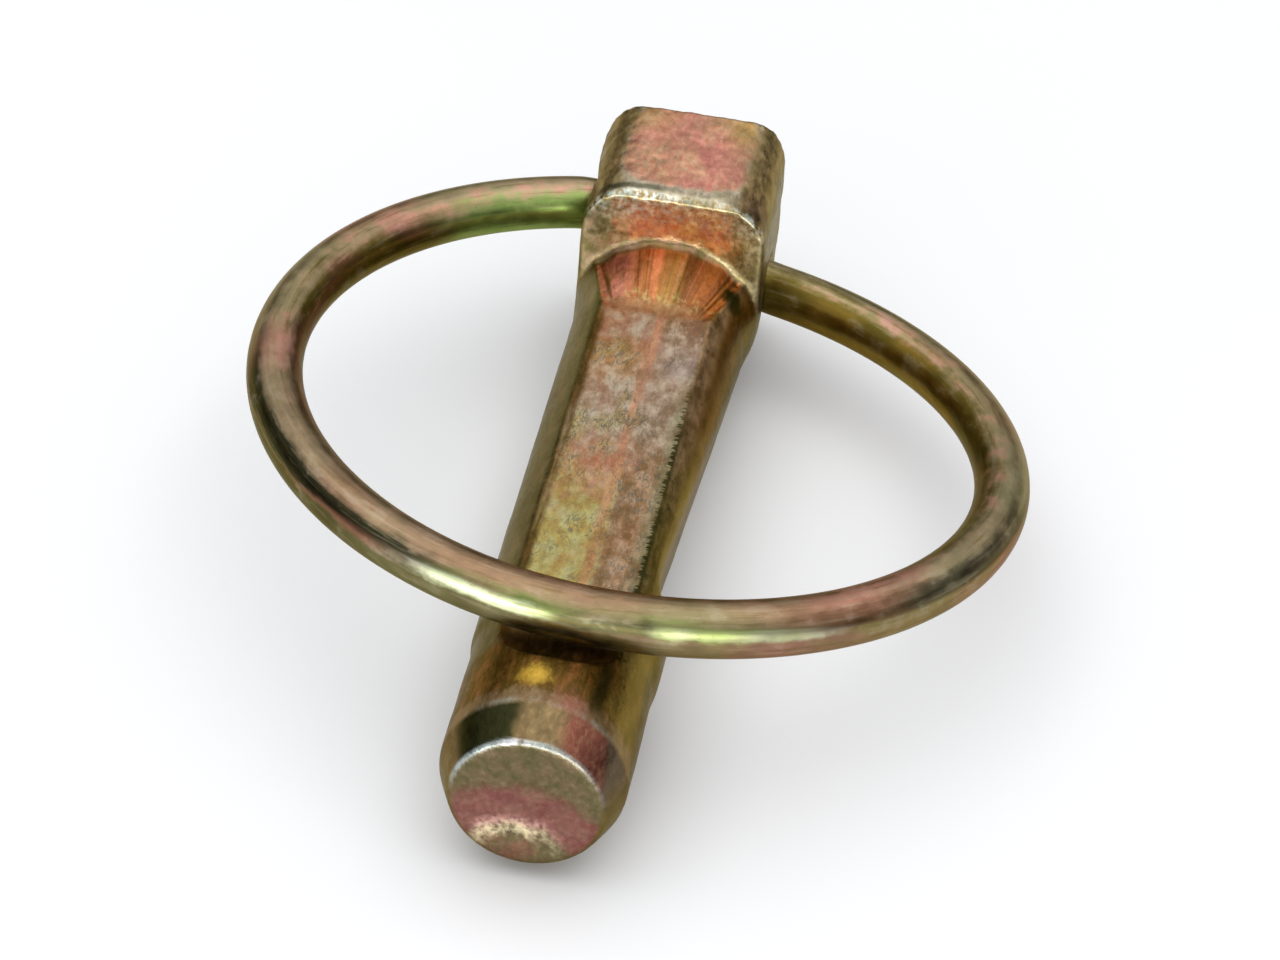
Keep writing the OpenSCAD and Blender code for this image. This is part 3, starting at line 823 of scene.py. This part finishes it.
def body_finish():
    f = Finish("yellow_zinc_forged")
    f.x, f.y, f.z = f.parts(f.mm)
    f.low = f.noted("low_side")
    f.up = f.noted("up")
    f.side = f.math("ABSOLUTE", f.y)
    f.soft = f.noise(0.42, 3, 0.6, f.stretch(f.mm, (0.55, 1, 1)))
    f.mid = f.noise(1.1, 4, 0.6, f.stretch(f.mm, (0.55, 1, 1), (7, 3, 1)))
    f.fine = f.noise(3.0, 3, 0.6, f.stretch(f.mm, (0.55, 1, 1), (2, 9, 5)))
    f.speck = f.noise(7.5, 2, 0.7, f.stretch(f.mm, (0.6, 1, 1)))
    f.streak = f.noise(1.0, 4, 0.65, f.stretch(f.mm, (0.10, 1.5, 1.5)))
    f.wander = f.sway(f.noise(0.5, 3, 0.6), 0.4)
    worm = f.noise(1.7, 2, 0.5, f.stretch(f.mm, (0.5, 1.1, 1), (11, 4, 8)), twist=1.5)
    f.veins = f.line(worm, 0.5, 0.05, 0.012)

    colour = flanks(f)
    for region in (recess_floor, recess_borders, run_in, shoulder_face, head_sides, head_top,
                   rear_face, collar, tapered_band, end_face, wear_and_painted_light):
        colour = region(f, colour)

    rough = f.step(f.fine, 0.3, 0.7, 0.27, 0.40)
    rough = f.plus(rough, f.times(f.noted("floor"), 0.12))
    normal = f.bump(f.veins, 0.15, -0.04)
    normal = f.bump(f.fine, 0.22, 0.08, normal)
    normal = f.bump(f.speck, 0.15, 0.03, normal)
    return f.metal(colour, rough, normal)


def wire_top(f):
    """Pink and tan, browner in front."""
    mid = f.mid
    top = f.mottle(f.soft, 3.5, (0.36, 0.28, 0.145), (0.44, 0.215, 0.15), 0.35)
    top = f.cover(top, (0.33, 0.29, 0.155), f.patchy(0.45, f.wide, 3.0), 0.8)
    top = f.cover(top, (0.52, 0.21, 0.17), f.patchy(0.35, mid, 2.4), f.step(f.out, 0.2, -0.2), 0.7)
    front = f.mottle(f.wide, 3.0, (0.27, 0.145, 0.09), (0.22, 0.18, 0.085), 0.4)
    top = f.cover(top, front, f.ahead, 0.7)
    return f.cover(top, (0.23, 0.155, 0.095), f.line(f.along, -19.0, 14.0, 7.0), 0.6)


def wire_outside(f):
    """Painted highlights, green and cream, in front with one dark gap; olive and brown elsewhere and below,
    with painted dark reflection low on the left.
    """
    along, lay, soft = f.along, f.lay, f.soft
    # Painted highlight belt: green and cream, whitest at the front left, frosted grey further left, with one
    # dark gap
    highlight_belt = f.mottle(f.wide, 3.5, (0.34, 0.33, 0.14), (0.36, 0.42, 0.15), 0.4)
    highlight_belt = f.cover(highlight_belt, (0.55, 0.53, 0.38), f.patchy(0.45, soft, 3.5, 0.3))
    highlight_belt = f.cover(highlight_belt, (0.72, 0.80, 0.46), f.line(along, -6.5, 4.5, 2.0), 0.8)
    highlight_belt = f.cover(highlight_belt, (0.10, 0.095, 0.04), f.line(along, 0.4, 3.6, 2.0))
    grey = f.times(f.line(along, -15.0, 7.0, 4.0), f.patchy(0.5, f.fine, 2.4))
    highlight_belt = f.cover(highlight_belt, (0.46, 0.45, 0.38), grey, 0.8)
    above = f.mottle(soft, 3.0, (0.19, 0.235, 0.065), (0.20, 0.17, 0.075))
    highlight_belt = f.cover(highlight_belt, above, f.step(lay, 0.42, 0.62))
    rest = f.mottle(soft, 3.0, (0.22, 0.17, 0.07), (0.28, 0.14, 0.08))
    # Low on the left it darkens, as painted dark reflection below the dark stretch
    left_low = f.blend(f.step(along, -9, -17), (0.19, 0.17, 0.075), (0.105, 0.095, 0.036))
    right_low = f.mottle(soft, 3.0, (0.24, 0.18, 0.08), (0.31, 0.15, 0.11))
    lower = f.blend(f.right, left_low, right_low)
    return f.blend(f.step(lay, 0.0, 0.2), lower, f.blend(f.ahead, rest, highlight_belt))


def wire_inside(f):
    """Dark olive with rust on the left and gold on the right, and a painted green highlight near the head on
    the left.
    """
    patches = f.blend(f.right, (0.20, 0.085, 0.05), (0.24, 0.15, 0.025))
    inside = f.blend(f.patchy(0.5, f.soft, 3.0), (0.15, 0.11, 0.02), patches)
    # Painted green highlight near the head on the left
    return f.cover(inside, (0.30, 0.42, 0.11), f.patchy(f.step(f.along, -47, -58), f.soft, 1.6, 0.4))


def wire_dark_reflections(f, colour):
    """Painted dark reflections on the outside, on both sides of the front."""
    along, lay = f.along, f.lay
    dark_reflected = f.times(f.line(f.away(along, 1.0), 21.0, 13.5, 8.0), f.outer)
    low_edge = f.step(f.plus(lay, f.step(along, -12, -20, 0, 0.22)), 0.30, 0.52)
    dark_reflected = f.times(dark_reflected, low_edge, f.step(lay, 0.92, 0.64), f.step(f.soft, 0.3, 0.5, 0.7, 1.0))
    dark_reflected = f.times(dark_reflected, f.step(along, 4, 14, 1.0, 0.8))
    farther = f.patchy(f.step(along, 14, 22), f.mid, 1.0)
    right_dark_reflection = f.blend(farther, (0.16, 0.075, 0.036), (0.035, 0.043, 0.028))
    dark_reflection_colour = f.blend(f.right, (0.022, 0.028, 0.012), right_dark_reflection)
    return f.cover(colour, dark_reflection_colour, dark_reflected, 0.93)


def ring_finish():
    """Places are lengths along the wire from its front, the far end from the head; left is -Y."""
    f = Finish("yellow_zinc_wire")
    wire = f.noted("wire", True)
    f.along, out, up = f.parts(wire)
    f.out = f.math("DIVIDE", out, WIRE_R)
    up = f.math("DIVIDE", up, WIRE_R)
    f.wide = f.noise(1.0, 2, 0.5, f.stretch(wire, (0.055, 0.12, 0.12), (2, 2, 2)))
    f.soft = f.noise(1.0, 2, 0.5, f.stretch(wire, (0.12, 0.3, 0.3)))
    f.mid = f.noise(0.9, 4, 0.6, f.stretch(wire, (0.6, 1.0, 1.0)))
    f.fine = f.noise(3.4, 3, 0.6, f.stretch(wire, (0.7, 1.2, 1.2)))
    streak = f.noise(1.0, 3, 0.55, f.stretch(wire, (0.07, 0.9, 0.9), (3, 1, 7)))
    thread = f.noise(1.0, 3, 0.6, f.stretch(wire, (0.22, 3.2, 3.2), (9, 2, 4)))

    # Height on the wire with a ragged border, its outer half, its front and its right half
    f.lay = f.plus(f.plus(up, f.sway(streak, 0.8)), f.sway(f.mid, 0.4))
    f.outer = f.step(f.plus(f.out, f.sway(streak, 0.6)), -0.3, 0.2)
    f.ahead = f.patchy(f.line(f.along, 1.0, 17, 8), f.mid, 0.8, 0.4)
    f.right = f.step(f.along, -3, 6)

    colour = f.blend(f.outer, wire_inside(f), wire_outside(f))
    crown = f.plus(f.plus(f.lay, f.times(f.outer, 0.27)), f.step(f.along, -44, -54, 0, 0.2))
    crown = f.math("SUBTRACT", crown, f.line(f.along, -5.5, 6.0, 1.5, to_high=0.12))
    colour = f.blend(f.step(crown, 0.72, 1.02), colour, wire_top(f))
    colour = wire_dark_reflections(f, colour)

    # Drawing marks along the wire, and small spots
    colour = f.cover(colour, (0.42, 0.34, 0.22), f.step(thread, 0.54, 0.66), 0.28)
    colour = f.cover(colour, (0.14, 0.09, 0.028), f.step(thread, 0.44, 0.34), 0.40)
    pale = f.times(f.patchy(0.22, f.mid, 2.4, 0.12), f.step(f.lay, -0.6, 0.1))
    colour = f.cover(colour, (0.34, 0.30, 0.22), pale, 0.25)
    colour = f.cover(colour, (0.14, 0.11, 0.05), f.step(f.fine, 0.62, 0.72), 0.35)
    colour = f.shade(colour, f.step(f.mid, 0.3, 0.7, 0.82, 1.18))

    rough = f.step(f.mid, 0.3, 0.7, 0.29, 0.41)
    normal = f.bump(thread, 0.08, 0.05)
    normal = f.bump(f.fine, 0.10, 0.04, normal)
    return f.metal(colour, rough, normal)


# ---------- make the pin ----------

body = forge_body()
note_surface(body)
body.data.materials.append(body_finish())
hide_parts("pin_body")
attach(body, "pin")

ring = coil_ring()
note_wire(ring)
only(ring)
bpy.ops.object.shade_smooth()
ring.data.materials.append(ring_finish())
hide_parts("snap_ring")
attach(ring, "ring")


# ---------- camera, floor and light ----------

EYE = (220.7, 23.3, 155.4)
VIEW_WAY = (-0.796, -0.085, -0.600)
VIEW_RIGHT = (-0.162, 0.979, 0.076)
LENS = 120.6
SENSOR = 36


def set_camera():
    back = -Vector(VIEW_WAY).normalized()
    right = Vector(VIEW_RIGHT)
    right = (right - right.dot(back) * back).normalized()
    facing = Matrix((right, back.cross(right), back)).transposed()
    data = bpy.data.cameras.new("Camera")
    data.sensor_width = SENSOR
    data.lens = LENS
    data.clip_start = 0.01
    cam = bpy.data.objects.new("Camera", data)
    bpy.context.collection.objects.link(cam)
    cam.matrix_world = Matrix.Translation(Vector(EYE) * MM) @ facing.to_4x4()
    bpy.context.scene.camera = cam


def lay_floor():
    """A white floor just under the pin, 6 m wide."""
    bpy.ops.mesh.primitive_plane_add(size=6, location=(0, 0, cad_box[0][2] - 0.02 * MM))
    floor = bpy.context.object
    floor.name = "floor"
    white = bpy.data.materials.new("floor_white")
    white.use_nodes = True
    shader = white.node_tree.nodes["Principled BSDF"]
    shader.inputs["Base Color"].default_value = (0.86, 0.86, 0.86, 1)
    shader.inputs["Roughness"].default_value = 0.9
    floor.data.materials.append(white)


def set_world():
    """A surround that is dark at the horizon and bright above."""
    world = bpy.data.worlds.new("studio")
    world.use_nodes = True
    bpy.context.scene.world = world
    nodes, links = world.node_tree.nodes, world.node_tree.links
    nodes["Background"].inputs["Color"].default_value = (0.95, 0.97, 1, 1)
    ways = nodes.new("ShaderNodeSeparateXYZ")
    links.new(nodes.new("ShaderNodeTexCoord").outputs["Generated"], ways.inputs[0])
    dusk = nodes.new("ShaderNodeMapRange")
    dusk.interpolation_type = "SMOOTHSTEP"
    for key, number in (("From Min", 0.15), ("From Max", 0.52), ("To Min", 0.05), ("To Max", 0.92)):
        dusk.inputs[key].default_value = number
    links.new(ways.outputs[2], dusk.inputs["Value"])
    links.new(dusk.outputs["Result"], nodes["Background"].inputs["Strength"])


def lamp(name, place, aim, size, watts):
    """A rectangular lamp; its place, aim and size are in metres."""
    data = bpy.data.lights.new(name, "AREA")
    data.shape = "RECTANGLE"
    data.size, data.size_y = size
    data.energy = watts
    obj = bpy.data.objects.new(name, data)
    bpy.context.collection.objects.link(obj)
    obj.location = place
    obj.visible_camera = False
    obj.rotation_euler = (Vector(aim) - Vector(place)).to_track_quat("-Z", "Y").to_euler()


set_camera()
deselect()
lay_floor()
set_world()
lamp("top", (0.0, -0.05, 0.75), (0.01, 0, 0), (1.1, 1.1), 3.2)
lamp("front", (0.5, 0.0, 0.07), (0.02, 0, 0.01), (0.9, 0.13), 1.9)
bpy.context.scene.view_settings.view_transform = "Standard"
